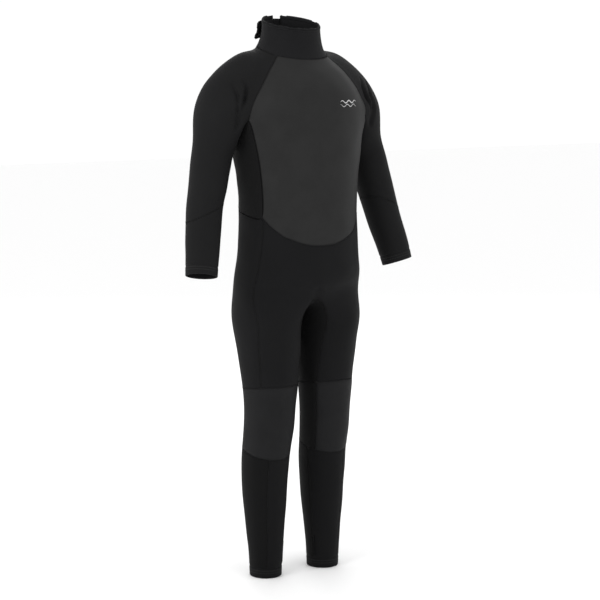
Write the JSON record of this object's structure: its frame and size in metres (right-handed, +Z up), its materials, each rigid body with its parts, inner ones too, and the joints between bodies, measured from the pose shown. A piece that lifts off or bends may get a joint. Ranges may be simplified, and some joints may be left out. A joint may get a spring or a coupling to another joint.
{
  "type": "full wetsuit",
  "caption": "Junior full-length neoprene wetsuit in its worn shape, with long raglan sleeves, back zip, hook-and-loop neck flap and knee pads.",
  "frame": {"origin": "bottom centre of the bounding box, between the two ankle hems", "axes": "+Z up to the collar, chest faces -Y, the wearer's left is +X"},
  "size_m": [0.5016, 0.1914, 1.06],
  "materials": {
    "smooth_skin_neoprene": "smooth satin neoprene skin, dark grey",
    "jersey_black": "matt knitted nylon jersey over neoprene, near black",
    "jersey_charcoal": "matt knitted nylon jersey over neoprene, charcoal",
    "gusset_black": "matt stretch jersey over neoprene, black",
    "knee_grip": "abrasion-resistant textured knee coating, dark grey",
    "collar_jersey": "soft jersey over thin neoprene, charcoal",
    "zip_tape": "woven black zip tape",
    "zip_plastic": "black moulded plastic",
    "zip_metal": "black painted die-cast metal",
    "hook_and_loop": "black hook-and-loop tape"
  },
  "bodies": {
    "torso": {"chest_panel": "smooth_skin_neoprene", "collar": "collar_jersey", "collar_binding": "collar_jersey", "crotch_gusset": "gusset_black", "left_back_panel": "smooth_skin_neoprene", "left_elbow_panel": "jersey_charcoal", "left_knee_back_panel": "gusset_black", "left_knee_pad": "knee_grip", "left_seat_panel": "jersey_black", "left_side_panel": "jersey_black", "left_upper_sleeve": "jersey_charcoal", "left_zip_tape": "zip_tape", "left_zip_teeth": "zip_plastic", "left_zip_top_stop": "zip_plastic", "loop_patch": "hook_and_loop", "right_back_panel": "smooth_skin_neoprene", "right_elbow_panel": "jersey_charcoal", "right_knee_back_panel": "gusset_black", "right_knee_pad": "knee_grip", "right_seat_panel": "jersey_black", "right_side_panel": "jersey_black", "right_upper_sleeve": "jersey_charcoal", "right_zip_tape": "zip_tape", "right_zip_teeth": "zip_plastic", "right_zip_top_stop": "zip_plastic", "trouser_front_panel": "jersey_black", "zip_bottom_stop": "zip_plastic", "zip_under_flap": "zip_tape"},
    "right_forearm": {"right_forearm_panel": "jersey_charcoal", "right_wrist_hem": "jersey_charcoal"},
    "left_forearm": {"left_forearm_panel": "jersey_charcoal", "left_wrist_hem": "jersey_charcoal"},
    "right_shin": {"right_shin_panel": "jersey_black", "right_calf_panel": "jersey_black", "right_ankle_hem": "jersey_black"},
    "left_shin": {"left_shin_panel": "jersey_black", "left_calf_panel": "jersey_black", "left_ankle_hem": "jersey_black"},
    "neck_flap": {"neck_closure_flap": "collar_jersey", "hook_patch": "hook_and_loop"},
    "slider": {"zip_slider": "zip_metal"},
    "pull": {"zip_pull": "zip_metal"}
  },
  "joints": [
    {"name": "right_elbow_bend", "type": "hinge", "parent": "torso", "child": "right_forearm", "pos_m": [-0.187, 0.01266, 0.745], "axis": [-1, 0, 0], "range_deg": [0, 90], "stiffness_Nm_per_rad": 0.3, "deforming": ["right_elbow_panel"]},
    {"name": "left_elbow_bend", "type": "hinge", "parent": "torso", "child": "left_forearm", "pos_m": [0.187, 0.01266, 0.745], "axis": [-1, 0, 0], "range_deg": [0, 90], "stiffness_Nm_per_rad": 0.3, "deforming": ["left_elbow_panel"]},
    {"name": "right_knee_bend", "type": "hinge", "parent": "torso", "child": "right_shin", "pos_m": [-0.0635, -0.00134, 0.307], "axis": [1, 0, 0], "range_deg": [0, 90], "stiffness_Nm_per_rad": 0.5, "deforming": ["right_knee_pad", "right_knee_back_panel"]},
    {"name": "left_knee_bend", "type": "hinge", "parent": "torso", "child": "left_shin", "pos_m": [0.0635, -0.00134, 0.307], "axis": [1, 0, 0], "range_deg": [0, 90], "stiffness_Nm_per_rad": 0.5, "deforming": ["left_knee_pad", "left_knee_back_panel"]},
    {"name": "neck_flap_peel", "type": "hinge", "parent": "torso", "child": "neck_flap", "pos_m": [0.01444, 0.07118, 1.03723], "axis": [0.0507, 0.1684, -0.9844], "range_deg": [0, 100], "stiffness_Nm_per_rad": 0.02},
    {"name": "zip_slide", "type": "slide", "parent": "torso", "child": "slider", "axis": [0, 0, -1], "range_m": [0, 0.345], "deforming": ["left_zip_teeth", "right_zip_teeth"]},
    {"name": "zip_pull_swing", "type": "hinge", "parent": "slider", "child": "pull", "pos_m": [0, 0.07886, 0.9865], "axis": [1, 0, 0], "range_deg": [0, 150]}
  ]
}
